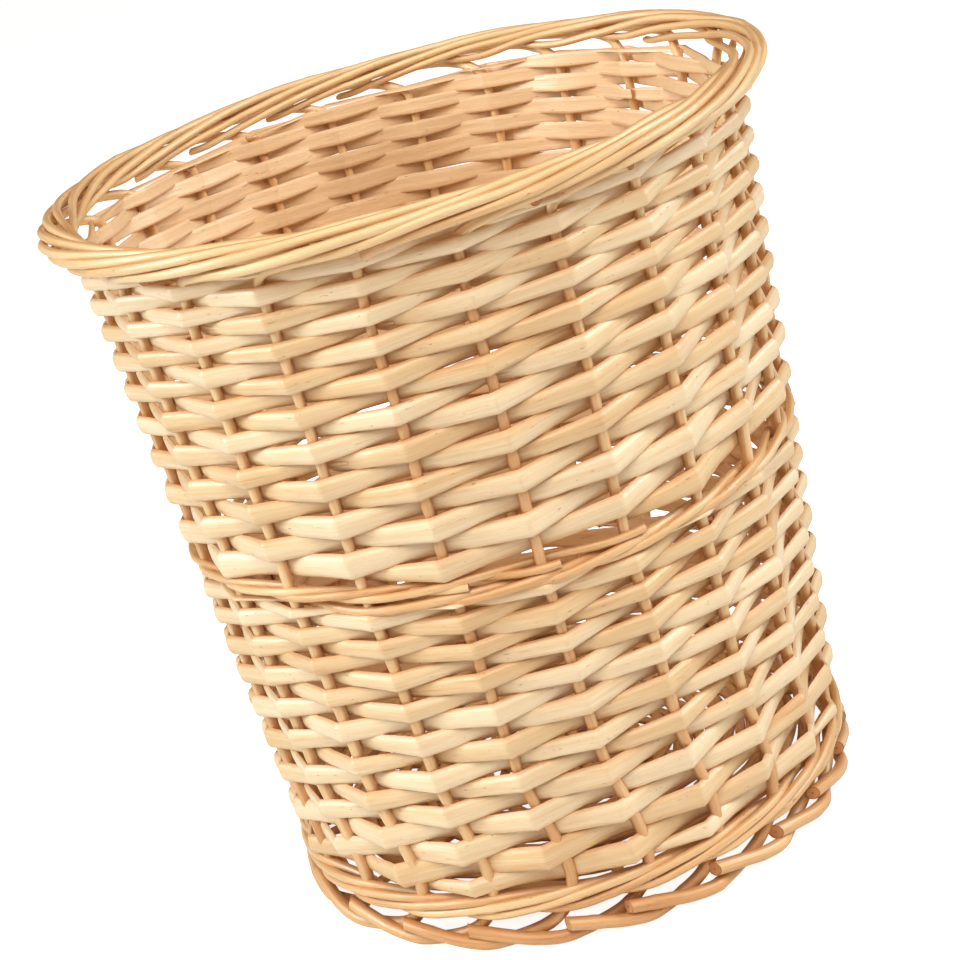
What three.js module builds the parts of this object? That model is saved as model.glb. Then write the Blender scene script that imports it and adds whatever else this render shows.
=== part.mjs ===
// Round willow wastebasket, woven on upright stakes. Millimetres, +Z up, origin at the centre of
// the foot's underside. Every strand is a straight rod or strip that is bent into its woven path.
import * as THREE from 'three';

// Wall. The uprights lean: their feet stand a part of a stake spacing ahead of their tops.
const STAKE_COUNT = 23;
const SPACING = (2 * Math.PI) / STAKE_COUNT;
const STAKE_LINE_AT_FLOOR = 112;
const WALL_FLARE = 0.0625;
const LEAN_AT_FLOOR = 0.23;
const LEAN_TOP = 160;
const CLEARANCE = 0.45;
const ROW_GAP = 0.3;

// Stakes: each rod tapers from its butt in the foot to its tip under the border.
const BUTT_RADIUS = 2.75;
const TIP_RADIUS = 1.75;
const STAKE_RADIUS_IN_WALL = 2.55;

// Weavers: split rods, flat on the inside.
const STRIP_THICKNESS = 2.6;
const STRIP_REACH = STAKE_RADIUS_IN_WALL + CLEARANCE + STRIP_THICKNESS / 2;
const STRAND_END_GAP = 0.03;
const WEAVER_STOPS_EARLY = 2;

// Courses of the wall from the foot to the border. A wale is a stack of level rods. A panel is
// filled by weavers that climb side by side, each starting a few stakes after the one before, and
// its rows get thinner from the butts at the bottom to the tips at the top.
const BASE_WALE = { strands: 4, bottom: 12.8, top: 25.8 };
const LOWER_PANEL = { strands: 7, rows: 17, start: 2.2, bottom: 25.8, top: 153.4, firstRow: 9.4 };
const MIDDLE_WALE = { strands: 3, bottom: 153.4, top: 163.4 };
const UPPER_PANEL = { strands: 7, rows: 19, start: 5.6, bottom: 163.4, top: 288.2, firstRow: 8.8 };
const WALE_SEAM_STEP = 5;

// Path of one stake: stake spacings from its own upright, radius and height. The foot runs back
// over two spacings, outside its neighbours, and the border runs on over five: out under the
// border, up its outer face, over the top, down its inner face and out below it.
const FOOT_PATH = [
  [-2.15, 118.8, 9.5],
  [-1.75, 118.7, 7.4],
  [-1.35, 118.4, 4.3],
  [-1.05, 117.2, 2],
  [-0.8, 114.2, 2],
  [-0.5, 112.2, 4.5],
  [-0.2, 112.3, 8.5],
  [0, 112.9, 14],
];
const UPRIGHT_PATH = [
  [0, 122, 160],
  [0, 130, 288.5],
];
const BORDER_PATH = [
  [0.14, 132.8, 291.4],
  [0.4, 138.2, 293],
  [0.8, 141.9, 294.7],
  [1.4, 143, 297.2],
  [2, 142, 299.8],
  [2.6, 139.3, 301.8],
  [3.2, 135.3, 302.1],
  [3.7, 131.6, 300.6],
  [4.1, 130, 297.8],
  [4.45, 130.4, 294.4],
  [4.75, 133.7, 290.8],
  [5.1, 139.3, 289.8],
];

// Base: two groups of three sticks that cross at the centre and fan out into twelve arms.
const ARM_COUNT = 12;
const BASE_Z = 15.4;
const BASE_STICK_WIDTH = 5;
const BASE_STICK_DEPTH = 3.6;
const BASE_STICK_PITCH = 6.2;
const BASE_CROSS_LIFT = 2;
const BASE_CROSS_HALF = 20;
const BASE_ARM_START = 35;
const BASE_ARM_END = 105.5;
const BASE_WEAVE_START = 40;
const BASE_WEAVE_END = 98;
const BASE_WEAVE_PITCH = 5;
const BASE_WEAVE_WIDTH = 4.5;
const BASE_WEAVE_DEPTH = 2.2;
const BASE_WEAVE_CLEARANCE = 1.2;
const BASE_WEAVE_LIFT = BASE_STICK_DEPTH / 2 + BASE_WEAVE_CLEARANCE + BASE_WEAVE_DEPTH / 2;

const ROD_SIDES = 6;

const willow = {
  stake: { color: 0xcf9a5e, roughness: 0.6 },
  weaver: { color: 0xe8cda4, roughness: 0.62 },
  wale: { color: 0xd3a266, roughness: 0.6 },
  base: { color: 0xd8b07a, roughness: 0.65 },
};

function material(kind) {
  return new THREE.MeshStandardMaterial({ ...willow[kind], metalness: 0 });
}

function numbered(name, index) {
  return `${name}_${String(index + 1).padStart(2, '0')}`;
}

function stakeLine(z) {
  return STAKE_LINE_AT_FLOOR + WALL_FLARE * z;
}

// How far the uprights lean ahead at height z, in stake spacings.
function lean(z) {
  return LEAN_AT_FLOOR * Math.max(0, 1 - z / LEAN_TOP);
}

// Azimuth 0 faces -Y and grows counter-clockwise seen from above.
function onCylinder(azimuth, radius, z) {
  return new THREE.Vector3(radius * Math.sin(azimuth), -radius * Math.cos(azimuth), z);
}

// Moves every vertex of a straight strand to where `place` puts it.
function bend(geometry, place) {
  const position = geometry.attributes.position;
  for (let i = 0; i < position.count; i += 1) {
    const p = place(position.getX(i), position.getY(i), position.getZ(i));
    position.setXYZ(i, p.x, p.y, p.z);
  }
  geometry.deleteAttribute('uv');
  geometry.computeVertexNormals();
  return geometry;
}

// Height of the lower edge of a panel's row, counted from 0 and not always whole.
function rowHeight(panel, row) {
  const lastRow = (2 * (panel.top - panel.bottom)) / panel.rows - panel.firstRow;
  const thinning = (lastRow - panel.firstRow) / (2 * panel.rows);
  const counted = Math.min(Math.max(row, 0), panel.rows);
  return panel.bottom + counted * (panel.firstRow + thinning * counted);
}

// A strip that climbs round a panel, inside its first stake, outside the next and so on. It stops
// a little before its row would pinch out under the next course.
function weaverStrip(panel, index) {
  const climb = panel.strands / STAKE_COUNT;
  const stakeNear = (spacings) => index + 2 * Math.round((spacings - index) / 2);
  const from = stakeNear(panel.start + index / climb);
  const to = stakeNear(panel.start + (index + panel.rows) / climb - WEAVER_STOPS_EARLY);
  const spans = to - from;
  const strip = new THREE.BoxGeometry(spans, STRIP_THICKNESS, 1, spans, 1, 1);
  return bend(strip, (x, y, z) => {
    const step = Math.round(x + spans / 2);
    const t = from + Math.min(Math.max(step, STRAND_END_GAP), spans - STRAND_END_GAP);
    const row = climb * (t - panel.start) - index;
    const low = rowHeight(panel, row) + ROW_GAP / 2;
    const high = rowHeight(panel, row + 1) - ROW_GAP / 2;
    const height = low + (high - low) * (z + 0.5);
    const side = step % 2 === 0 ? -1 : 1;
    const azimuth = (t + lean(height)) * SPACING;
    return onCylinder(azimuth, stakeLine(height) + side * STRIP_REACH - y, height);
  });
}

// A thin level rod that goes once round the wall, inside one stake out of every few.
function waleRod(wale, index) {
  const pitch = (wale.top - wale.bottom) / wale.strands;
  const radius = (pitch - ROW_GAP) / 2;
  const from = index * WALE_SEAM_STEP;
  const rod = new THREE.CylinderGeometry(radius, radius, STAKE_COUNT, ROD_SIDES, STAKE_COUNT);
  return bend(rod, (x, y, z) => {
    const step = Math.round(y + STAKE_COUNT / 2);
    const t = from + Math.min(Math.max(step, STRAND_END_GAP), STAKE_COUNT - STRAND_END_GAP);
    const height = wale.bottom + (index + 0.5) * pitch - x;
    const side = (from + step + index) % wale.strands === 0 ? -1 : 1;
    const reach = STAKE_RADIUS_IN_WALL + CLEARANCE + radius;
    const azimuth = (t + lean(height)) * SPACING;
    return onCylinder(azimuth, stakeLine(height) + side * reach + z, height);
  });
}

// A tapered round rod through `points`, level with the floor where it would reach below it.
function bentRod(points, buttRadius, tipRadius) {
  const last = points.length - 1;
  const lengths = [0];
  for (let i = 1; i <= last; i += 1) {
    lengths.push(lengths[i - 1] + points[i].distanceTo(points[i - 1]));
  }
  const rod = new THREE.CylinderGeometry(1, 1, last, ROD_SIDES, last);
  return bend(rod, (x, y, z) => {
    const i = Math.round(y + last / 2);
    const before = points[Math.max(i - 1, 0)];
    const after = points[Math.min(i + 1, last)];
    const tangent = after.clone().sub(before).normalize();
    const outward = new THREE.Vector3(points[i].x, points[i].y, 0).normalize();
    const across = tangent.clone().cross(outward).normalize();
    const away = across.clone().cross(tangent);
    const radius = THREE.MathUtils.lerp(buttRadius, tipRadius, lengths[i] / lengths[last]);
    const p = points[i].clone().addScaledVector(across, x * radius).addScaledVector(away, z * radius);
    p.z = Math.max(p.z, 0);
    return p;
  });
}

function stakeRod(index) {
  const path = [...FOOT_PATH, ...UPRIGHT_PATH, ...BORDER_PATH];
  const points = path.map(([spacings, radius, z]) => {
    return onCylinder((index + spacings + lean(z)) * SPACING, radius, z);
  });
  return bentRod(points, BUTT_RADIUS, TIP_RADIUS);
}

// A base stick: straight through the crossing, then fanned out by `fan` steps of an arm.
function baseStick(crossing, fan) {
  const lift = crossing === 0 ? -BASE_CROSS_LIFT : BASE_CROSS_LIFT;
  const angle = (fan * 2 * Math.PI) / ARM_COUNT;
  const ray = new THREE.Vector2(Math.cos(angle), Math.sin(angle));
  const half = [
    new THREE.Vector2(BASE_CROSS_HALF, fan * BASE_STICK_PITCH),
    ray.clone().multiplyScalar(BASE_ARM_START),
    ray.clone().multiplyScalar(BASE_ARM_END),
  ];
  const mirrored = half.map((p) => new THREE.Vector2(-p.x, p.y)).reverse();
  const plan = [...mirrored, ...half];
  const steps = plan.length - 1;
  const stick = new THREE.BoxGeometry(steps, BASE_STICK_WIDTH, BASE_STICK_DEPTH, steps, 1, 1);
  bend(stick, (x, y, z) => {
    const i = Math.round(x + steps / 2);
    const before = plan[Math.max(i - 1, 0)];
    const after = plan[Math.min(i + 1, steps)];
    const along = after.clone().sub(before).normalize();
    const rise = plan[i].length() < BASE_ARM_START - 1 ? lift : 0;
    return new THREE.Vector3(plan[i].x - along.y * y, plan[i].y + along.x * y, BASE_Z + rise + z);
  });
  return stick.rotateZ((crossing * Math.PI) / 2);
}

// One of the pair of strands that spiral out over and under the twelve arms.
function baseWeaver(phase) {
  const roundsApart = 2 * BASE_WEAVE_PITCH;
  const rounds = (BASE_WEAVE_END - BASE_WEAVE_START) / roundsApart;
  const spans = Math.floor(rounds * ARM_COUNT);
  const strand = new THREE.BoxGeometry(spans, BASE_WEAVE_WIDTH, BASE_WEAVE_DEPTH, spans, 1, 1);
  return bend(strand, (x, y, z) => {
    const step = Math.round(x + spans / 2);
    const radius = BASE_WEAVE_START + phase * BASE_WEAVE_PITCH + (step / ARM_COUNT) * roundsApart;
    const over = (step + phase) % 2 === 0 ? 1 : -1;
    return onCylinder((step * 2 * Math.PI) / ARM_COUNT, radius - y, BASE_Z + over * BASE_WEAVE_LIFT + z);
  });
}

const basket = new THREE.Group();

function add(name, geometry, kind) {
  const mesh = new THREE.Mesh(geometry, material(kind));
  mesh.name = name;
  basket.add(mesh);
}

for (let index = 0; index < STAKE_COUNT; index += 1) {
  add(numbered('stake', index), stakeRod(index), 'stake');
}

function addCourse(name, course, strand, kind) {
  for (let index = 0; index < course.strands; index += 1) {
    add(numbered(name, index), strand(course, index), kind);
  }
}

addCourse('base_wale', BASE_WALE, waleRod, 'wale');
addCourse('lower_weaver', LOWER_PANEL, weaverStrip, 'weaver');
addCourse('middle_wale', MIDDLE_WALE, waleRod, 'wale');
addCourse('upper_weaver', UPPER_PANEL, weaverStrip, 'weaver');

for (let crossing = 0; crossing < 2; crossing += 1) {
  for (let fan = -1; fan <= 1; fan += 1) {
    add(numbered('base_stick', crossing * 3 + fan + 1), baseStick(crossing, fan), 'base');
  }
}

for (let phase = 0; phase < 2; phase += 1) {
  add(numbered('base_weaver', phase), baseWeaver(phase), 'base');
}

export default basket;
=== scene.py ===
# Woven willow wastebasket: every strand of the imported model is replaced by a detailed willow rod.
import math
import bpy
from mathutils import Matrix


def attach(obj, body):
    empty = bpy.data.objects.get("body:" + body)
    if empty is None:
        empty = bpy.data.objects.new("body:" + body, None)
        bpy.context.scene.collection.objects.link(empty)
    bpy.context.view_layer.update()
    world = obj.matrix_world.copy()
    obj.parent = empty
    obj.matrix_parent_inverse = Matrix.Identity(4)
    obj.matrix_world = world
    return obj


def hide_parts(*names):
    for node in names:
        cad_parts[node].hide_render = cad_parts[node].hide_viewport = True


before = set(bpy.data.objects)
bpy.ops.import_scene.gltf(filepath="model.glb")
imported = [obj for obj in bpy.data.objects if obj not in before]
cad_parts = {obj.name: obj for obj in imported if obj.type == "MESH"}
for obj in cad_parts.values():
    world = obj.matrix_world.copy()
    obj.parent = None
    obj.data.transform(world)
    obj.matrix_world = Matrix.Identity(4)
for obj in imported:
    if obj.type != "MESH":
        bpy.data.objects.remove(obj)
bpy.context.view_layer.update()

import zlib

import bpy
import numpy as np
from mathutils import Matrix, Vector

MM = 0.001


def nodes_named(prefix):
    """Names of the CAD nodes that start with a prefix, in order."""
    return sorted(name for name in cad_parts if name.startswith(prefix))


# ---- Driving dimensions, in millimetres -------------------------------------------------------

STAKES = nodes_named("stake_")
SPACING = 2 * math.pi / len(STAKES)
STAKE_LINE_AT_FLOOR = 112.0
WALL_FLARE = 0.0625
LEAN_AT_FLOOR = 0.23
LEAN_TOP = 160.0

MEAN_RADIUS = 125
WALL_BOTTOM = 14.0
WALL_TOP = 290.0

# Radius of a stake at shares of its length, from the butt to the tip.
WALL_FOOT_RADIUS = 2.55
WALL_TOP_RADIUS = 2.1
STAKE_TAPER = [(0, 2.8), (0.13, WALL_FOOT_RADIUS), (0.5, WALL_TOP_RADIUS), (0.6, 1.95), (1, 1.5)]
# Slopes of the cuts at butt and tip, and how much of the last bit of each tip is left on.
STAKE_CUTS = (0.5, 1.2)
TIP_SHOWS = (0.1, 1.1)
# Tones of a stake at heights: brown at the foot, pale in the border.
STAKE_TONE_HEIGHTS = [20, 60, 270, 292]
STAKE_TONES = [0.75, 0, 0, -0.75]

STRIP_THICKNESS = 2.7
STRIP_THICKNESS_AT_TOP = 2.1
STRIPS_TOP = 289

# Wales: spacing where the first rod begins, spans of each, and rise in one turn.
BASE_WALE = {
    "nodes": nodes_named("base_wale_"), "height": 18.9, "step": 4.0, "radius": 1.95,
    "begin": 9, "spans": len(STAKES), "climb": 0,
}
LOWER_PANEL = {
    "nodes": nodes_named("lower_weaver_"),
    "rows": 17, "start": 2.2, "bottom": 24.9, "top": 153.4, "first_row": 9.4,
}
MIDDLE_WALE = {
    "nodes": nodes_named("middle_wale_"), "height": 154.6, "step": 3.3, "radius": 1.75,
    "begin": -3, "spans": len(STAKES) + 2, "climb": 5.5,
}
UPPER_PANEL = {
    "nodes": nodes_named("upper_weaver_"),
    "rows": 19, "start": 5.6, "bottom": 163.4, "top": 289.8, "first_row": 8.8,
}

# Path of one stake as stake spacings from its own upright, radius and height.
FOOT_PATH = [
    (-2.15, 118.1, 9.3), (-1.75, 118.2, 7.2), (-1.35, 118.0, 4.4), (-1.05, 117.0, 3.0),
    (-0.8, 114.2, 3.0), (-0.5, 112.2, 4.5), (-0.2, 112.3, 8.5), (0, 112.9, 14),
]
UPRIGHT_PATH = [(0, 117.0, 80), (0, 122, 160), (0, 126.4, 230), (0, 129.4, 280)]
BORDER_START = [(0.02, 130.2, 286.5), (0.15, 132.6, 289.6), (0.32, 136.4, 291.6)]
BORDER_CENTRE = (136.8, 297.2)
BORDER_HALF = (6.0, 4.4)
# Turn in degrees of a rod round the border's core at a number of spacings, from straight below.
BORDER_TURNS = [
    (0.55, 28), (0.95, 50), (1.5, 78), (2.2, 112), (2.9, 143), (3.6, 172), (4.2, 203),
    (4.9, 245), (5.5, 278), (6.05, 308),
]
# A tip either comes out below the border or is tucked into its core.
BORDER_END = [(6.4, 132.8, 292.9), (6.65, 134.8, 291.4), (6.88, 138.0, 291.0)]
BORDER_TUCK = [(6.3, 132.4, 295.2), (6.52, 134.6, 296.8), (6.7, 137.0, 297.2)]
TIPS_SHOWN = 0.4

BASE_Z = 15.4
BASE_STICK_PITCH = 6.2
BASE_STICK_RADIUS = 2.45
BASE_STICK_FLATNESS = 0.78
BASE_ARMS = 12
BASE_CROSS_LIFT = 2.0
BASE_CROSS_HALF = 20.0
BASE_ARM_START = 35.0
BASE_ARM_END = 109.5
BASE_WEAVE_START = 25.0
BASE_WEAVE_END = 105.5
BASE_WEAVE_PITCH = 4.6
BASE_WEAVE_LIFT = 3.6
BASE_WEAVER_HALF_WIDTH = 2.3
BASE_WEAVER_HALF_DEPTH = 1.55
BASE_TIE_END = 38.0
BASE_TIE_LIFT = 1.2


# ---- Small helpers ----------------------------------------------------------------------------

def seeded(name):
    """A random generator that depends only on a name."""
    return np.random.default_rng(zlib.crc32(name.encode()))


def wander(rng, at, step, amount):
    """Smooth random values along `at`, with a new value every `step`."""
    first = math.floor(at.min() / step) - 1
    count = int(math.ceil(at.max() / step)) - first + 3
    values = rng.uniform(-amount, amount, count)
    place = at / step - first
    low = np.floor(place).astype(int)
    part = place - low
    part = part * part * (3 - 2 * part)
    return values[low] * (1 - part) + values[low + 1] * part


def unit(vectors):
    return vectors / np.linalg.norm(vectors, axis=1, keepdims=True)


def run_length(points):
    """Length along a path at each of its points."""
    return np.concatenate([[0], np.cumsum(np.linalg.norm(np.diff(points, axis=0), axis=1))])


def lean(z):
    """How far the uprights lean ahead at height z, in stake spacings."""
    return LEAN_AT_FLOOR * np.maximum(0, 1 - z / LEAN_TOP)


def stake_line(z):
    return STAKE_LINE_AT_FLOOR + WALL_FLARE * z


def stake_radius(z):
    return np.interp(z, [WALL_BOTTOM, WALL_TOP], [WALL_FOOT_RADIUS, WALL_TOP_RADIUS])


def on_wall(spacings, radius, z):
    """Points at stake spacings (0 faces -Y, counter-clockwise), radius and height."""
    azimuth = (spacings + lean(z)) * SPACING
    return np.stack([radius * np.sin(azimuth), -radius * np.cos(azimuth), z], axis=1)


def smooth_through(points, step):
    """A smooth curve through control points, with a station about every `step` of length."""
    reached = run_length(points)
    gaps = np.diff(reached)[:, None]
    slopes = np.diff(points, axis=0) / gaps
    middle = (slopes[:-1] * gaps[1:] + slopes[1:] * gaps[:-1]) / (gaps[:-1] + gaps[1:])
    tangents = np.vstack([slopes[:1], middle, slopes[-1:]])
    at = np.linspace(0, reached[-1], int(reached[-1] / step) + 2)
    i = np.clip(np.searchsorted(reached, at, side="right") - 1, 0, len(gaps) - 1)
    gap = gaps[i]
    q = (at - reached[i])[:, None] / gap
    start = (1 + 2 * q) * (1 - q) ** 2 * points[i] + q * (1 - q) ** 2 * gap * tangents[i]
    end = q * q * (3 - 2 * q) * points[i + 1] + q * q * (q - 1) * gap * tangents[i + 1]
    return start + end


# ---- Strands ----------------------------------------------------------------------------------

def round_section(sides):
    angle = np.arange(sides) * 2 * math.pi / sides
    return np.stack([np.cos(angle), np.sin(angle)], axis=1)


def split_section():
    """Section of a split rod: a full domed face outside and a nearly flat split face inside."""
    across = np.cos(np.linspace(0, math.pi, 11))
    dome = 2 * (1 - np.abs(across) ** 3.2) ** 0.6 - 1
    flat = np.array([[-0.86, -1.0], [-0.45, -0.9], [0, -0.86], [0.45, -0.9], [0.86, -1.0]])
    dome[0] = dome[-1] = -0.72
    return np.vstack([np.stack([across, dome], axis=1), flat])


def strand(centre, outward, section, half_width, half_depth, tone, twist=None, along_from=0.0,
           slants=(0.0, 0.0)):
    """Sweeps a section along a path. Returns the arrays of one closed rod with cut ends.

    `slants` are the slopes of the cuts at the start and at the end, facing outward.
    """
    stations, sides = len(centre), len(section)
    tangent = unit(np.gradient(centre, axis=0))
    across = unit(np.cross(outward, tangent))
    outward = np.cross(tangent, across)
    if twist is not None:
        turned = across * np.cos(twist)[:, None] + outward * np.sin(twist)[:, None]
        outward = outward * np.cos(twist)[:, None] - across * np.sin(twist)[:, None]
        across = turned
    u = section[None, :, 0] * half_width[:, None]
    v = section[None, :, 1] * half_depth[:, None]
    body = centre[:, None] + across[:, None] * u[..., None] + outward[:, None] * v[..., None]
    body[0] += tangent[0] * v[0][:, None] * slants[0]
    body[-1] -= tangent[-1] * v[-1][:, None] * slants[1]
    length = run_length(centre)
    along = np.broadcast_to((length + along_from)[:, None], u.shape)
    rod = np.stack([along, u, v], axis=2)
    edge = np.broadcast_to(np.abs(section[None, :, 0]), u.shape)
    tones = np.broadcast_to(tone[:, None], u.shape)

    i = np.arange(stations - 1)[:, None] * sides
    j = np.arange(sides)[None]
    after = (j + 1) % sides
    quads = np.stack([i + j, i + after, i + sides + after, i + sides + j], axis=2).reshape(-1, 4)

    count = stations * sides
    caps = []
    cap_points, cap_rod, cap_edge, cap_tone = [], [], [], []
    for end in (0, stations - 1):
        ring = count + len(caps) * (sides + 1) + np.arange(sides)
        centre_index = ring[-1] + 1
        following = np.roll(ring, -1)
        if end == 0:
            ring, following = following, ring
        caps.append(np.stack([ring, following, np.full(sides, centre_index)], axis=1))
        cap_points += [body[end], body[end].mean(axis=0)[None]]
        cap_rod += [rod[end], rod[end].mean(axis=0)[None]]
        cap_edge += [np.ones(sides), np.zeros(1)]
        cap_tone += [np.full(sides + 1, tone[end])]
    return {
        "points": np.vstack([body.reshape(-1, 3)] + cap_points),
        "rod": np.vstack([rod.reshape(-1, 3)] + cap_rod),
        "edge": np.concatenate([edge.ravel()] + cap_edge),
        "tone": np.concatenate([tones.ravel()] + cap_tone),
        "quads": quads,
        "caps": np.vstack(caps),
    }


def piece(node, strands, skin, sharp_degrees=48):
    """Joins strands into one object that stands for a CAD node."""
    points, rods, edges, tones, faces, kinds = [], [], [], [], [], []
    offset = 0
    for part in strands:
        points.append(part["points"])
        rods.append(part["rod"])
        edges.append(part["edge"])
        tones.append(part["tone"])
        faces += (part["quads"] + offset).tolist() + (part["caps"] + offset).tolist()
        kinds += [0] * len(part["quads"]) + [1] * len(part["caps"])
        offset += len(part["points"])
    mesh = bpy.data.meshes.new(node + "_willow")
    mesh.from_pydata((np.vstack(points) * MM).tolist(), [], faces)
    mesh.materials.append(skin)
    mesh.materials.append(CUT_WOOD)
    mesh.polygons.foreach_set("material_index", kinds)
    mesh.polygons.foreach_set("use_smooth", [True] * len(faces))
    rod = mesh.attributes.new("rod", "FLOAT_VECTOR", "POINT")
    rod.data.foreach_set("vector", (np.vstack(rods) * MM).astype(np.float32).ravel())
    for name, values in (("edge", edges), ("tone", tones)):
        attribute = mesh.attributes.new(name, "FLOAT", "POINT")
        attribute.data.foreach_set("value", np.concatenate(values).astype(np.float32))
    mesh.update()
    mesh.set_sharp_from_angle(angle=math.radians(sharp_degrees))
    made = bpy.data.objects.new(node + "_rod", mesh)
    bpy.context.scene.collection.objects.link(made)
    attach(made, "root")
    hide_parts(node)
    return made


# ---- Materials --------------------------------------------------------------------------------

class Nodes:
    """A thin helper that adds and links shader nodes."""

    def __init__(self, name):
        self.material = bpy.data.materials.new(name)
        self.material.use_nodes = True
        self.tree = self.material.node_tree
        self.shader = self.tree.nodes["Principled BSDF"]

    def add(self, kind, **values):
        node = self.tree.nodes.new(kind)
        for key, value in values.items():
            setattr(node, key, value)
        return node

    def link(self, source, target):
        self.tree.links.new(source, target)

    def attribute(self, name, output):
        return self.add("ShaderNodeAttribute", attribute_name=name).outputs[output]

    def math(self, operation, first, second=0.0, clamp=False):
        node = self.add("ShaderNodeMath", operation=operation, use_clamp=clamp)
        for socket, value in zip(node.inputs, (first, second)):
            if isinstance(value, (int, float)):
                socket.default_value = value
            else:
                self.link(value, socket)
        return node.outputs[0]

    def noise(self, scale, detail=3.0, roughness=0.55, distortion=0.0):
        """Noise in the strand's own coordinates: along it, across it and through it."""
        stretch = self.add("ShaderNodeVectorMath", operation="MULTIPLY")
        stretch.inputs[1].default_value = scale
        self.link(self.attribute("rod", "Vector"), stretch.inputs[0])
        texture = self.add("ShaderNodeTexNoise")
        texture.inputs["Scale"].default_value = 1.0
        texture.inputs["Detail"].default_value = detail
        texture.inputs["Roughness"].default_value = roughness
        texture.inputs["Distortion"].default_value = distortion
        self.link(stretch.outputs[0], texture.inputs["Vector"])
        return texture.outputs["Fac"]

    def between(self, value, low, high):
        """0 below `low`, 1 above `high`, smooth in between."""
        node = self.add("ShaderNodeMapRange", interpolation_type="SMOOTHSTEP")
        self.link(value, node.inputs["Value"])
        node.inputs["From Min"].default_value = low
        node.inputs["From Max"].default_value = high
        return node.outputs["Result"]

    def mix(self, factor, first, second, blend="MIX"):
        node = self.add("ShaderNodeMix", data_type="RGBA", blend_type=blend)
        for socket, value in zip((node.inputs["Factor"], node.inputs[6], node.inputs[7]),
                                 (factor, first, second)):
            if isinstance(value, (int, float, tuple)):
                socket.default_value = value
            else:
                self.link(value, socket)
        return node.outputs[2]

    def bump(self, height, distance, strength=1.0, normal=None):
        node = self.add("ShaderNodeBump")
        node.inputs["Distance"].default_value = distance
        node.inputs["Strength"].default_value = strength
        self.link(height, node.inputs["Height"])
        if normal is not None:
            self.link(normal, node.inputs["Normal"])
        return node.outputs["Normal"]


def colour(red, green, blue):
    """A shader colour from sRGB values of 0 to 255."""
    def linear(value):
        value /= 255
        return value / 12.92 if value <= 0.04045 else ((value + 0.055) / 1.055) ** 2.4
    return (linear(red), linear(green), linear(blue), 1.0)


# Scales of the noises per metre: along a rod, across it and through it.
MOTTLE = (22, 300, 300)
STREAKS = (28, 1500, 1500)
GRAIN = (90, 4200, 4200)
FLECKS = (330, 1500, 1500)
MARKS = (75, 520, 520)
RAYS = (400, 2600, 2600)
# Where a noise or a depth turns from one colour into the next, and how strongly.
PALE_TO_TAN = (-0.1, 1.1)
TAN_TO_DEEP = (0.95, 1.9)
SPLIT_DEPTHS, SPLIT_STRENGTH = (0.0004, 0.0009), 0.6
# Painted shade: the sides of a rod's section are darkened towards the deep colour, where neighbours
# would shade them.
SHADED_EDGES, EDGE_SHADE_STRENGTH = (0.72, 1.0), 0.45
STAINS, STAIN_STRENGTH = (0.63, 0.78), 0.55
SPECKS, SPECK_CLUSTERS, SPECK_STRENGTH = (0.64, 0.71), (0.54, 0.64), 0.6
SPECULAR_LEVEL = 0.8
COAT_WEIGHT = 0.8
COAT_ROUGHNESS = 0.48


def willow(name, pale, tan, deep, speck, roughness, split_face=None):
    """Peeled willow: long grain, tan streaks, dark specks, an own tone on every strand, and painted
    shade along the sides of each rod.

    `split_face` colours the flat inner face of a split rod.
    """
    n = Nodes(name)
    tone = n.attribute("tone", "Fac")
    mottle = n.noise(MOTTLE, detail=3)
    streak = n.noise(STREAKS, detail=4, roughness=0.6)
    grain = n.noise(GRAIN, detail=2)
    flecks = n.noise(FLECKS, detail=2, roughness=0.5)
    marks = n.noise(MARKS, detail=4, roughness=0.65, distortion=0.4)

    shift = n.math("MULTIPLY", n.math("SUBTRACT", mottle, 0.5), 1.9)
    shift = n.math("ADD", shift, n.math("MULTIPLY", n.math("SUBTRACT", streak, 0.5), 0.9))
    shift = n.math("ADD", shift, n.math("ADD", n.math("MULTIPLY", tone, 0.5), 0.5))
    ground = n.mix(n.between(shift, *PALE_TO_TAN), pale, tan)
    ground = n.mix(n.between(shift, *TAN_TO_DEEP), ground, deep)
    if split_face:
        depth = n.add("ShaderNodeSeparateXYZ")
        n.link(n.attribute("rod", "Vector"), depth.inputs[0])
        inner = n.between(n.math("MULTIPLY", depth.outputs["Z"], -1), *SPLIT_DEPTHS)
        ground = n.mix(n.math("MULTIPLY", inner, SPLIT_STRENGTH), ground, split_face)
    # Painted shade: the rod darkens towards the sides of its section, as if shaded by its
    # neighbours.
    painted_edge_shade = n.math("MULTIPLY", n.between(n.attribute("edge", "Fac"), *SHADED_EDGES), EDGE_SHADE_STRENGTH)
    ground = n.mix(painted_edge_shade, ground, deep)
    stained = n.math("MULTIPLY", n.between(marks, *STAINS), STAIN_STRENGTH)
    ground = n.mix(stained, ground, deep)
    clustered = n.math("MULTIPLY", n.between(flecks, *SPECKS), n.between(marks, *SPECK_CLUSTERS))
    speckled = n.math("MULTIPLY", clustered, SPECK_STRENGTH)
    ground = n.mix(speckled, ground, speck)
    fine = n.math("ADD", n.math("MULTIPLY", grain, 0.2), 0.9)
    shade = n.add("ShaderNodeVectorMath", operation="SCALE")
    n.link(ground, shade.inputs[0])
    n.link(fine, shade.inputs["Scale"])
    n.link(shade.outputs[0], n.shader.inputs["Base Color"])

    rough = n.math("ADD", n.math("MULTIPLY", streak, 0.24), roughness - 0.12)
    n.link(rough, n.shader.inputs["Roughness"])
    relief = n.math("ADD", n.math("MULTIPLY", streak, 0.7), n.math("MULTIPLY", grain, 0.3))
    coarse = n.bump(marks, 0.0006, 0.5)
    n.link(n.bump(relief, 0.0003, 0.6, coarse), n.shader.inputs["Normal"])
    n.shader.inputs["Specular IOR Level"].default_value = SPECULAR_LEVEL
    n.shader.inputs["Coat Weight"].default_value = COAT_WEIGHT
    n.shader.inputs["Coat Roughness"].default_value = COAT_ROUGHNESS
    return n.material


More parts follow.
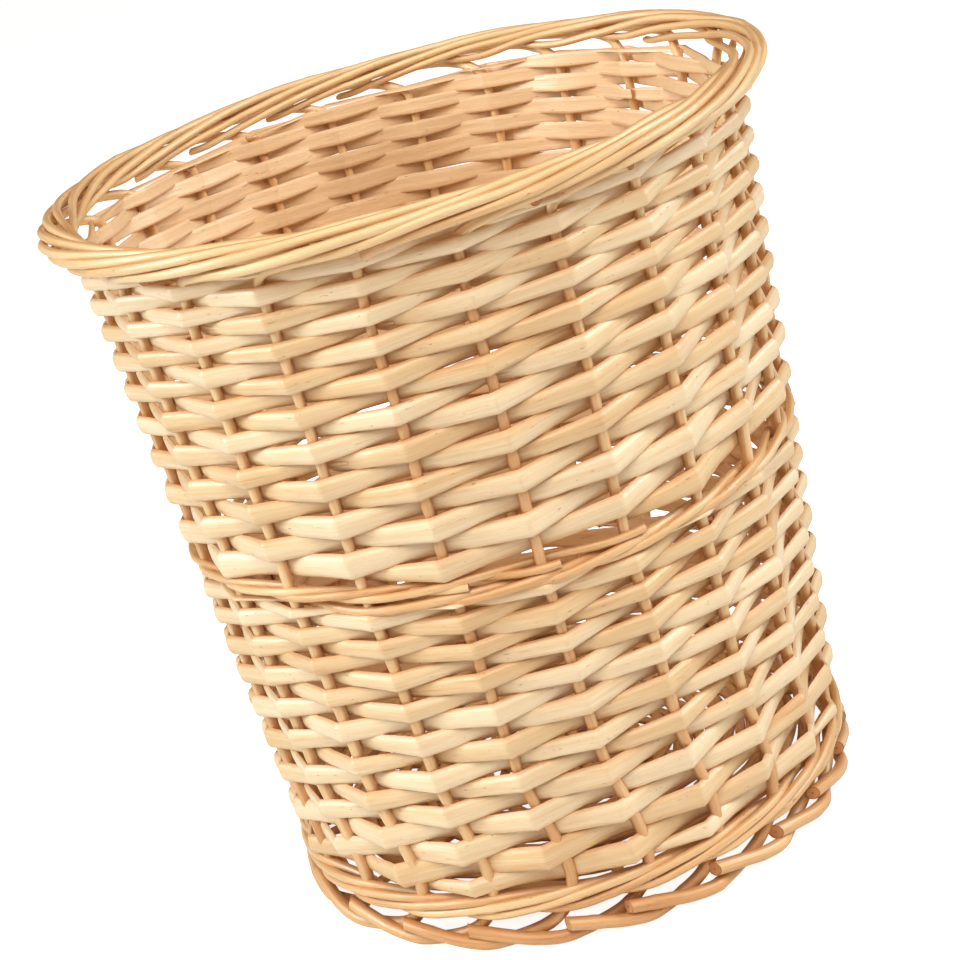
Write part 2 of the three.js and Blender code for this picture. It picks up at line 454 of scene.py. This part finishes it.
def cut_wood():
    """The cut end of a rod: pale wood around a darker pith."""
    n = Nodes("willow_cut_end")
    edge = n.attribute("edge", "Fac")
    rays = n.noise(RAYS, detail=3)
    ringed = n.math("ADD", edge, n.math("MULTIPLY", n.math("SUBTRACT", rays, 0.5), 0.35))
    ground = n.mix(n.between(ringed, 0.02, 0.2), colour(136, 80, 46), colour(212, 160, 112))
    ground = n.mix(n.between(ringed, 0.8, 1.05), ground, colour(156, 92, 52))
    n.link(ground, n.shader.inputs["Base Color"])
    n.link(n.bump(rays, 0.0004, 0.6), n.shader.inputs["Normal"])
    n.shader.inputs["Roughness"].default_value = 0.8
    return n.material


CUT_WOOD = cut_wood()
WEAVER_SKIN = willow("willow_split", colour(250, 229, 195), colour(236, 202, 154),
                     colour(206, 134, 66), colour(124, 66, 30), 0.42, colour(254, 220, 180))
STAKE_SKIN = willow("willow_stake", colour(246, 214, 166), colour(226, 176, 120),
                    colour(192, 126, 74), colour(96, 50, 24), 0.4)
WALE_SKIN = willow("willow_wale", colour(244, 210, 162), colour(224, 174, 118),
                   colour(186, 118, 66), colour(96, 50, 24), 0.4)
BASE_SKIN = willow("willow_base", colour(240, 204, 154), colour(224, 176, 118),
                   colour(184, 120, 64), colour(96, 50, 24), 0.5)

ROUND = round_section(12)
SPLIT = split_section()
# Where along the noise a strand's grain starts, in mm, so that no two strands look the same.
GRAIN_STARTS = (0, 4000)


# ---- Stakes with foot and border --------------------------------------------------------------

FIRST_BUD = (8, 30)
BUDS_APART = (22, 60)
BUD_HEIGHT = (0.1, 0.26)
BUD_LENGTH = 1.8


def with_buds(rng, length, radius):
    """Adds the slight swellings of the buds to a rod's radius."""
    at = rng.uniform(*FIRST_BUD)
    swell = np.zeros_like(length)
    while at < length[-1]:
        swell += rng.uniform(*BUD_HEIGHT) * np.exp(-((length - at) / BUD_LENGTH) ** 2)
        at += rng.uniform(*BUDS_APART)
    return radius + swell


def border_path(end):
    """The way of one rod under, up the outside, over and down the inside of the border."""
    turned = []
    for spacings, degrees in BORDER_TURNS:
        turn = math.radians(degrees)
        turned.append((spacings, BORDER_CENTRE[0] + BORDER_HALF[0] * math.sin(turn),
                       BORDER_CENTRE[1] - BORDER_HALF[1] * math.cos(turn)))
    return BORDER_START + turned + end


STAKE_STEP = 2.2
UPRIGHT_TO = 286
LOOSENS_OVER = 20
FOOT_TOP = 20
# Ranges in which a butt is moved along its spacing, outward and up, over its first stretch.
BUTT_STRETCH = 60
BUTT_ALONG = (-0.28, 0.18)
BUTT_OUT = (-1.4, 0.5)
BUTT_UP = (-0.5, 1.8)
# Unevenness of a stake: a new value every first number of mm, as large as the second.
STAKE_SWAYS = (45, 0.012)
STAKE_BULGES = (40, 0.35)
LOOSE_BULGES = (28, 0.75)
LOOSE_HEAVES = (30, 0.8)
STAKE_THICKENS = (25, 0.03)
STAKE_TONES_VARY = (60, 0.4)
STAND_CLEAR = 0.1
SETTLES_BELOW = 40


def stake(index, node):
    """One rod: its butt lies in the foot, it stands in the wall and its tip runs in the border."""
    rng = seeded(node)
    end = BORDER_END if rng.uniform() < TIPS_SHOWN else BORDER_TUCK
    path = np.array(FOOT_PATH + UPRIGHT_PATH + border_path(end))
    path[-1] = path[-2] + (path[-1] - path[-2]) * rng.uniform(*TIP_SHOWS)
    spacing_length = SPACING * MEAN_RADIUS
    curve = smooth_through(path * [spacing_length, 1, 1], STAKE_STEP)
    spacings, radius, z = curve[:, 0] / spacing_length, curve[:, 1], curve[:, 2]
    length = run_length(curve)
    share = length / length[-1]
    upright = np.clip((z - WALL_BOTTOM) / LOOSENS_OVER, 0, 1)
    upright = upright * np.clip((UPRIGHT_TO - z) / LOOSENS_OVER, 0, 1)
    loose = 1 - upright
    spacings = index + spacings + wander(rng, length, *STAKE_SWAYS) * (1 + loose)
    butt = np.clip(1 - length / BUTT_STRETCH, 0, 1)
    spacings = spacings + rng.uniform(*BUTT_ALONG) * butt
    radius = radius + rng.uniform(*BUTT_OUT) * butt
    z = z + rng.uniform(*BUTT_UP) * butt
    radius = radius + wander(rng, length, *STAKE_BULGES)
    radius = radius + wander(rng, length, *LOOSE_BULGES) * loose
    z = z + wander(rng, length, *LOOSE_HEAVES) * loose * (z > FOOT_TOP) + STAND_CLEAR
    centre = on_wall(spacings, radius, z)
    outward = unit(centre * [1, 1, 0])
    thick = np.interp(share, *np.transpose(STAKE_TAPER))
    thick = thick * (1 + wander(rng, length, *STAKE_THICKENS)) * rng.uniform(0.96, 1.04)
    thick = with_buds(rng, length, thick)
    lowest = (centre[:, 2] - thick).min()
    centre[:, 2] -= min(lowest, 0) * np.clip(1 - z / SETTLES_BELOW, 0, 1)
    tone = rng.uniform(-0.5, 0.5) + wander(rng, length, *STAKE_TONES_VARY)
    tone = tone + np.interp(z, STAKE_TONE_HEIGHTS, STAKE_TONES)
    rod = strand(centre, outward, ROUND, thick, thick, tone,
                 along_from=rng.uniform(*GRAIN_STARTS), slants=STAKE_CUTS)
    return piece(node, [rod], STAKE_SKIN)


# ---- Woven strands ----------------------------------------------------------------------------

# Stations of a strand as spacings from the nearest stake.
SPAN_OFFSETS = (0, 0.01, 0.022, 0.04, 0.12, 0.2, 0.28, 0.36, 0.43, 0.5)
CROSSING_WAIST = 0.13
BOW_EMERGING = 1.25
BOW_DIVING = -0.3
BOW_PEAK = 6.75
# How far a fold rounds off, in spacings: sharp outside the stakes, soft inside them.
FOLD_OUTSIDE = (0.012, 0.035)
FOLD_INSIDE = (0.3, 0.42)
GAP_OUTSIDE = 0.55
GAP_INSIDE = 0.35
# Width of a weaver for its row's height, and from its butt to its tip.
WEAVER_WIDTH = 2.7
WEAVER_WIDTH_PER_ROW = 0.86
WEAVER_TAPER = [1.07, 0.9]
# Unevenness of a weaver: a new value every first number of spacings, as large as the second.
WEAVER_WIDENS = (2.3, 0.09)
WEAVER_NICKS = (0.5, 0.025)
WEAVER_HEAVES = (0.9, 0.3)
WEAVER_TWISTS = (1.4, math.radians(9))
WEAVER_TONES_VARY = (1.7, 0.45)
# Ranges in which a corner moves up, outward and along.
CORNER_UP = (-0.45, 0.45)
CORNER_OUT = (-0.1, 0.35)
CORNER_ALONG = (-0.03, 0.02)
# Spacings over which a rod narrows towards an end, and its width there as a share.
START_TAPER = (0.25, 0.55)
END_TAPER = (0.6, 0.3)
# Spans of one rod, fewest and most, how far its ends lie past their stakes, and how deep it starts.
ROD_SPANS = (18, 28)
ROD_STARTS_BEFORE = (0.12, 0.3)
ROD_ENDS_AFTER = (0.15, 0.35)
SHORTEST_ROD = 8
TUCK_DEPTH = 1.6
TUCK_LENGTH = 0.8


def span_stations(first, last):
    """Stations along a strand, close together near the stakes."""
    near = np.array(sorted({sign * offset for offset in SPAN_OFFSETS for sign in (-1, 1)}))[1:]
    at = (np.arange(math.floor(first) - 1, math.ceil(last) + 2)[:, None] + near).ravel()
    at = at[(at > first + 0.02) & (at < last - 0.02)]
    return np.concatenate([[first], at, [last]])


def woven(corners, softness, at):
    """The path through corner points at whole numbers, straight between them and bent at them."""
    k = np.clip(np.round(at).astype(int), 1, len(corners) - 2)
    apart = at - k
    here, before, after = corners[k], corners[k - 1] - corners[k], corners[k + 1] - corners[k]
    reach = np.abs(apart)[:, None]
    straight = here + np.where(apart[:, None] > 0, after, before) * reach
    soft = softness[k][:, None]
    q = np.clip((apart[:, None] + soft) / (2 * soft), 0, 1)
    bent = here + soft * ((1 - q) ** 2 * before + q ** 2 * after)
    return np.where(reach < soft, bent, straight)


def bow(at, stake_numbers, outside):
    """Radial bow: a rod comes out fast behind a stake, lies flat to its fold and dives straight."""
    i = np.clip(np.searchsorted(stake_numbers, at, side="right") - 1, 0, len(outside) - 2)
    x = np.clip(at - stake_numbers[i], 0, 1)
    amount = np.where(outside[i + 1], BOW_EMERGING, BOW_DIVING)
    return amount * BOW_PEAK * x * (1 - x) ** 2


# Waves of the rows: turns round the wall, turn per mm of height, phase and size.
WAVES = [(3, 0.021, 1.3, 0.6), (5, -0.034, 4.1, 0.45), (2, 0.05, 2.2, 0.5)]
WAVES_BETWEEN = (24, 292)
WAVES_GROW_OVER = 30


def wave(spacings, z):
    """The slow unevenness that all rows of the wall share."""
    azimuth = spacings * SPACING
    rise = sum(size * np.sin(turns * azimuth + pitch * z + phase)
               for turns, pitch, phase, size in WAVES)
    low, high = WAVES_BETWEEN
    rise = rise * np.clip((z - low) / WAVES_GROW_OVER, 0, 1)
    return rise * np.clip((high - z) / WAVES_GROW_OVER, 0, 1)


def row_height(panel, row):
    """Lower edge of a panel's row; rows thin out from the bottom to the top."""
    rows, first = panel["rows"], panel["first_row"]
    last = 2 * (panel["top"] - panel["bottom"]) / rows - first
    thinning = (last - first) / (2 * rows)
    counted = np.clip(row, 0, rows)
    return panel["bottom"] + counted * (first + thinning * counted)


def strip_thickness(panel, z):
    return np.interp(z, [panel["bottom"], STRIPS_TOP], [STRIP_THICKNESS, STRIP_THICKNESS_AT_TOP])


def weaver_corners(panel, index, stake_numbers, row, rng):
    """Where a weaver bends at each stake, whether it is outside there, and how softly it bends."""
    middle = (row_height(panel, row) + row_height(panel, row + 1)) / 2
    middle = middle + wave(stake_numbers, middle) + rng.uniform(*CORNER_UP, len(row))
    outside = (stake_numbers - index) % 2 == 1
    reach = stake_radius(middle) + strip_thickness(panel, middle) / 2
    reach = reach + np.where(outside, GAP_OUTSIDE, GAP_INSIDE)
    reach = reach + rng.uniform(*CORNER_OUT, len(row))
    radius = stake_line(middle) + np.where(outside, reach, -reach)
    across = stake_numbers + rng.uniform(*CORNER_ALONG, len(row))
    corners = on_wall(across, radius, middle)
    sharp = rng.uniform(*FOLD_OUTSIDE, len(row))
    soft = rng.uniform(*FOLD_INSIDE, len(row))
    return corners, outside, np.where(outside, sharp, soft)


def weaver_width(panel, at, stake_numbers, row, share, rng):
    """Width of a rod at its stations: as high as its row, and less where the row pinches out."""
    whole_row = np.clip(row, 0, panel["rows"] - 1)
    pitch = np.interp(at, stake_numbers, row_height(panel, row + 1) - row_height(panel, row))
    full = np.interp(at, stake_numbers,
                     row_height(panel, whole_row + 1) - row_height(panel, whole_row))
    squeezed = np.clip(pitch / full, 0.25, 1)
    width = (WEAVER_WIDTH + WEAVER_WIDTH_PER_ROW * full) * squeezed
    width = width * np.interp(share, [0, 1], WEAVER_TAPER) * (1 + wander(rng, at, *WEAVER_WIDENS))
    width = width * (1 + wander(rng, at, *WEAVER_NICKS))
    return width * (1 - CROSSING_WAIST * (2 * np.abs(at - np.round(at))) ** 1.5)


def weaver_rod(panel, index, first, last, rng):
    """One split rod of a climbing weaver, from spacing `first` to spacing `last`."""
    climb = len(panel["nodes"]) / len(STAKES)
    stake_numbers = np.arange(math.floor(first) - 2, math.ceil(last) + 3)
    row = climb * (stake_numbers - panel["start"]) - index
    corners, outside, softness = weaver_corners(panel, index, stake_numbers, row, rng)
    at = span_stations(first, last)
    centre = woven(corners, softness, at - stake_numbers[0])
    share = (at - first) / (last - first)
    width = weaver_width(panel, at, stake_numbers, row, share, rng)
    taper = np.clip((at - first) / START_TAPER[0], START_TAPER[1], 1)
    taper = taper * np.clip((last - at) / END_TAPER[0], END_TAPER[1], 1)
    thick = strip_thickness(panel, centre[:, 2])
    tucked = TUCK_DEPTH * np.clip(1 - (at - first) / TUCK_LENGTH, 0, 1)
    radial = unit(centre * [1, 1, 0])
    centre = centre + radial * (bow(at, stake_numbers, outside) - tucked)[:, None]
    centre[:, 2] += wander(rng, at, *WEAVER_HEAVES)
    outward = radial + [0, 0, -WALL_FLARE]
    twist = wander(rng, at, *WEAVER_TWISTS)
    tone = rng.uniform(-0.8, 0.8) + wander(rng, at, *WEAVER_TONES_VARY)
    return strand(centre, outward, SPLIT, width / 2 * taper, thick / 2 * np.sqrt(taper), tone,
                  twist, rng.uniform(*GRAIN_STARTS))


def weaver(panel, index, node):
    """A climbing weaver: rods that follow each other, each taking over inside a stake."""
    rng = seeded(node)
    climb = len(panel["nodes"]) / len(STAKES)

    def nearest_inside(spacings):
        return index + 2 * round((spacings - index) / 2)

    begin = nearest_inside(panel["start"] + index / climb - 1.7)
    finish = nearest_inside(panel["start"] + (index + panel["rows"]) / climb + 0.4)
    rods = []
    first = begin
    while first < finish:
        last = first + 2 * int(rng.integers(ROD_SPANS[0] // 2, ROD_SPANS[1] // 2 + 1))
        if finish - last < SHORTEST_ROD:
            last = finish
        rods.append(weaver_rod(panel, index, first - rng.uniform(*ROD_STARTS_BEFORE),
                               last + rng.uniform(*ROD_ENDS_AFTER), rng))
        first = last
    return piece(node, rods, WEAVER_SKIN)


# Spacings that a waling rod runs past its end stakes, and how softly it bends.
WALE_OVERRUN = 0.2
WALE_FOLD_INSIDE = 0.3
WALE_FOLD_OUTSIDE = 0.42
WALE_TAPER = [1.06, 0.92]
WALE_HEAVES = (0.8, 0.25)
WALE_THICKENS = (0.8, 0.04)
WALE_TONES_VARY = (2, 0.4)


def wale(course, index, node):
    """A round rod of a wale: outside all but one of every few stakes, rising along each stroke."""
    rng = seeded(node)
    strokes = len(course["nodes"])
    begin = course["begin"]
    first, last = begin + index - WALE_OVERRUN, begin + index + course["spans"] + WALE_OVERRUN
    stake_numbers = np.arange(math.floor(first) - 2, math.ceil(last) + 3)
    stroke = (stake_numbers - index) % strokes
    inside = stroke == 0
    level = np.where(inside, 0, stroke - strokes / 2) * course["step"]
    height = course["height"] + level + course["climb"] * (stake_numbers - begin) / len(STAKES)
    height = height + wave(stake_numbers, height) + rng.uniform(-0.25, 0.25, len(height))
    reach = stake_radius(height) + course["radius"] + rng.uniform(0, 0.3, len(height))
    radius = stake_line(height) + np.where(inside, -reach, reach)
    corners = on_wall(stake_numbers, radius, height)
    softness = np.where(inside, WALE_FOLD_INSIDE, WALE_FOLD_OUTSIDE)
    at = span_stations(first, last)
    centre = woven(corners, softness, at - stake_numbers[0])
    centre[:, 2] += wander(rng, at, *WALE_HEAVES)
    share = (at - first) / (last - first)
    length = run_length(centre)
    thick = course["radius"] * np.interp(share, [0, 1], WALE_TAPER)
    thick = with_buds(rng, length, thick * (1 + wander(rng, at, *WALE_THICKENS)))
    tone = rng.uniform(-0.5, 0.5) + wander(rng, at, *WALE_TONES_VARY)
    rod = strand(centre, unit(centre * [1, 1, 0]), ROUND, thick, thick, tone,
                 along_from=rng.uniform(*GRAIN_STARTS))
    return piece(node, [rod], WALE_SKIN)


# ---- Base -------------------------------------------------------------------------------------

# Stick pitch at the centre of the cross, where the sticks lie closest, as a share.
BASE_CLOSEST = 0.96
BASE_STICK_STEP = 2.5
# Radius of a stick's tip as a share, and the length over which it thickens.
BASE_TIP_SHARE = 0.55
BASE_TIP_LENGTH = 14
BASE_STICK_THICKENS = (30, 0.04)
BASE_STICK_TONES_VARY = (50, 0.3)
BASE_WEAVER_STEP = 0.1
BASE_WEAVER_SOFTNESS = 0.45
BASE_WEAVER_HEAVES = (1.3, 0.2)
BASE_WEAVER_WIDENS = (2, 0.08)
BASE_WEAVER_TONES_VARY = (4, 0.5)
BASE_WEAVER_SWAYS = (1.1, 0.25)


def base_stick(number, node):
    """One of three sticks side by side, laid across the other three and fanned into arms."""
    rng = seeded(node)
    crossing, fan = divmod(number, 3)
    fan -= 1
    lift = BASE_CROSS_LIFT if crossing else -BASE_CROSS_LIFT
    angle = fan * 2 * math.pi / BASE_ARMS
    half = [(BASE_CROSS_HALF * 0.4, fan * BASE_STICK_PITCH * BASE_CLOSEST, lift),
            (BASE_CROSS_HALF, fan * BASE_STICK_PITCH, lift)]
    for radius in (BASE_ARM_START, 0.5 * (BASE_ARM_START + BASE_ARM_END), BASE_ARM_END):
        half.append((radius * math.cos(angle), radius * math.sin(angle), 0))
    plan = np.array([(-x, y, z) for x, y, z in reversed(half)] + half)
    centre = smooth_through(plan, BASE_STICK_STEP)
    turn = crossing * math.pi / 2
    x, y = centre[:, 0].copy(), centre[:, 1].copy()
    centre[:, 0] = x * math.cos(turn) - y * math.sin(turn)
    centre[:, 1] = x * math.sin(turn) + y * math.cos(turn)
    centre[:, 2] += BASE_Z
    length = run_length(centre)
    middle = np.minimum(length, length[-1] - length)
    pointed = np.clip(BASE_TIP_SHARE + middle / BASE_TIP_LENGTH, 0, 1)
    width = BASE_STICK_RADIUS * pointed * (1 + wander(rng, length, *BASE_STICK_THICKENS))
    width = with_buds(rng, length, width)
    outward = np.tile([0.0, 0, 1.0], (len(centre), 1))
    tone = rng.uniform(-0.4, 0.4) + wander(rng, length, *BASE_STICK_TONES_VARY)
    rod = strand(centre, outward, ROUND, width, width * BASE_STICK_FLATNESS, tone,
                 along_from=rng.uniform(*GRAIN_STARTS))
    return piece(node, [rod], BASE_SKIN)


def base_weaver(phase, node):
    """One strand of the pair: ties the four bundles, then parts them and spirals out."""
    rng = seeded(node)
    apart = 2 * BASE_WEAVE_PITCH
    spans = int((BASE_WEAVE_END - BASE_WEAVE_START) / apart * BASE_ARMS)
    arms = np.arange(-1, spans + 2)
    radius = BASE_WEAVE_START + phase * BASE_WEAVE_PITCH + arms / BASE_ARMS * apart
    bundle = np.floor((arms + 1) / 3).astype(int)
    tied = radius < BASE_TIE_END
    over = np.where(tied, bundle, arms) % 2 == phase
    lift = np.where(tied, BASE_WEAVE_LIFT + BASE_TIE_LIFT, BASE_WEAVE_LIFT)
    height = BASE_Z + np.where(over, lift, -lift)
    angle = arms * 2 * math.pi / BASE_ARMS
    corners = np.stack([radius * np.sin(angle), -radius * np.cos(angle), height], axis=1)
    at = np.arange(0, spans, BASE_WEAVER_STEP)
    centre = woven(corners, np.full(len(arms), BASE_WEAVER_SOFTNESS), at + 1)
    centre[:, 2] += wander(rng, at, *BASE_WEAVER_HEAVES)
    flat = unit(centre * [1, 1, 0])
    outward = np.tile([0.0, 0, 1.0], (len(centre), 1))
    width = BASE_WEAVER_HALF_WIDTH * (1 + wander(rng, at, *BASE_WEAVER_WIDENS))
    tone = rng.uniform(-0.3, 0.3) + wander(rng, at, *BASE_WEAVER_TONES_VARY)
    centre = centre + flat * wander(rng, at, *BASE_WEAVER_SWAYS)[:, None]
    rod = strand(centre, outward, ROUND, width, np.full(len(at), BASE_WEAVER_HALF_DEPTH), tone,
                 along_from=rng.uniform(*GRAIN_STARTS))
    return piece(node, [rod], BASE_SKIN)


for number, name in enumerate(STAKES):
    stake(number, name)
for number, name in enumerate(BASE_WALE["nodes"]):
    wale(BASE_WALE, number, name)
for number, name in enumerate(LOWER_PANEL["nodes"]):
    weaver(LOWER_PANEL, number, name)
for number, name in enumerate(MIDDLE_WALE["nodes"]):
    wale(MIDDLE_WALE, number, name)
for number, name in enumerate(UPPER_PANEL["nodes"]):
    weaver(UPPER_PANEL, number, name)
for number, name in enumerate(nodes_named("base_stick_")):
    base_stick(number, name)
for number, name in enumerate(nodes_named("base_weaver_")):
    base_weaver(number, name)


# ---- Camera, floor and light ------------------------------------------------------------------

CAMERA_PLACE = Vector((-61.2, -875.8, 486.6)) * MM
CAMERA_LENS = 86.0
CAMERA_PAN = math.radians(-0.34)
CAMERA_TURN = math.radians(-4)
CAMERA_TILT = 0.366
CAMERA_ROLL = -0.269
AIM = Vector((0, 0, 0.2))
SOFTBOX_DISTANCE = 1.6
COOL = (0.84, 0.95, 1.0)
WARM = (1.0, 0.97, 0.92)
FILL = (0.27, 0.2, 0.13, 1)
# Softboxes: name, azimuth and elevation in degrees, size in metres, power in watts, colour.
SOFTBOXES = [
    ("softbox_left", -88, 26, 0.45, 15, COOL),
    ("softbox_right", 84, 28, 0.45, 12.5, COOL),
    ("softbox_top", -4, 52, 1.2, 17.5, WARM),
]
FLOOR_SIZE = 24.0
FLOOR_CELLS = 24
FLOOR_GLOW = 0.14
FLOOR_GLOW_SEEN = 0.85
VIEW_GAMMA = 0.86


def add_camera():
    heading = CAMERA_PAN - CAMERA_TURN
    forward = Vector((math.sin(heading) * math.cos(CAMERA_TILT),
                      math.cos(heading) * math.cos(CAMERA_TILT), -math.sin(CAMERA_TILT)))
    level = Vector((math.cos(heading), -math.sin(heading), 0))
    upward = level.cross(forward)
    right = level * math.cos(CAMERA_ROLL) + upward * math.sin(CAMERA_ROLL)
    top = upward * math.cos(CAMERA_ROLL) - level * math.sin(CAMERA_ROLL)
    data = bpy.data.cameras.new("camera")
    data.lens = CAMERA_LENS
    data.sensor_width = 36.0
    camera = bpy.data.objects.new("camera", data)
    camera.matrix_world = (Matrix.Translation(CAMERA_PLACE)
                           @ Matrix((right, top, -forward)).transposed().to_4x4())
    bpy.context.scene.collection.objects.link(camera)
    bpy.context.scene.camera = camera


def add_floor():
    side = np.linspace(-FLOOR_SIZE / 2, FLOOR_SIZE / 2, FLOOR_CELLS + 1)
    points = [(x, y, 0.0) for y in side for x in side]
    row = FLOOR_CELLS + 1
    faces = [(i + j * row, i + 1 + j * row, i + 1 + (j + 1) * row, i + (j + 1) * row)
             for j in range(FLOOR_CELLS) for i in range(FLOOR_CELLS)]
    mesh = bpy.data.meshes.new("floor")
    mesh.from_pydata(points, [], faces)
    n = Nodes("floor_paper")
    n.shader.inputs["Base Color"].default_value = (0.75, 0.75, 0.75, 1)
    n.shader.inputs["Roughness"].default_value = 0.9
    n.shader.inputs["Specular IOR Level"].default_value = 0.0
    n.shader.inputs["Emission Color"].default_value = (1, 1, 1, 1)
    path = n.add("ShaderNodeLightPath")
    glow = n.add("ShaderNodeMapRange")
    glow.inputs["To Min"].default_value = FLOOR_GLOW
    glow.inputs["To Max"].default_value = FLOOR_GLOW_SEEN
    n.link(path.outputs["Is Camera Ray"], glow.inputs["Value"])
    n.link(glow.outputs["Result"], n.shader.inputs["Emission Strength"])
    mesh.materials.append(n.material)
    floor = bpy.data.objects.new("floor", mesh)
    bpy.context.scene.collection.objects.link(floor)


def add_softbox(name, azimuth, elevation, size, power, tint):
    """A square softbox round the basket: azimuth 0 is in front, and grows to the right."""
    turn, rise = math.radians(azimuth), math.radians(elevation)
    place = SOFTBOX_DISTANCE * Vector((math.sin(turn) * math.cos(rise),
                                       -math.cos(turn) * math.cos(rise), math.sin(rise)))
    data = bpy.data.lights.new(name, "AREA")
    data.shape = "SQUARE"
    data.size = size
    data.energy = power
    data.color = tint
    light = bpy.data.objects.new(name, data)
    light.location = place + AIM
    light.rotation_euler = (-place).to_track_quat("-Z", "Y").to_euler()
    bpy.context.scene.collection.objects.link(light)


def add_surroundings():
    """White surroundings that light the basket less than they show."""
    world = bpy.data.worlds.new("studio")
    world.use_nodes = True
    nodes, links = world.node_tree.nodes, world.node_tree.links
    path = nodes.new("ShaderNodeLightPath")
    shown = nodes.new("ShaderNodeMix")
    shown.data_type = "RGBA"
    shown.inputs[6].default_value = FILL
    shown.inputs[7].default_value = (1, 1, 1, 1)
    links.new(path.outputs["Is Camera Ray"], shown.inputs["Factor"])
    links.new(shown.outputs[2], nodes["Background"].inputs["Color"])
    bpy.context.scene.world = world


def add_light():
    add_surroundings()
    for softbox in SOFTBOXES:
        add_softbox(*softbox)
    bpy.context.scene.view_settings.view_transform = "Standard"
    bpy.context.scene.view_settings.gamma = VIEW_GAMMA


add_camera()
add_floor()
add_light()
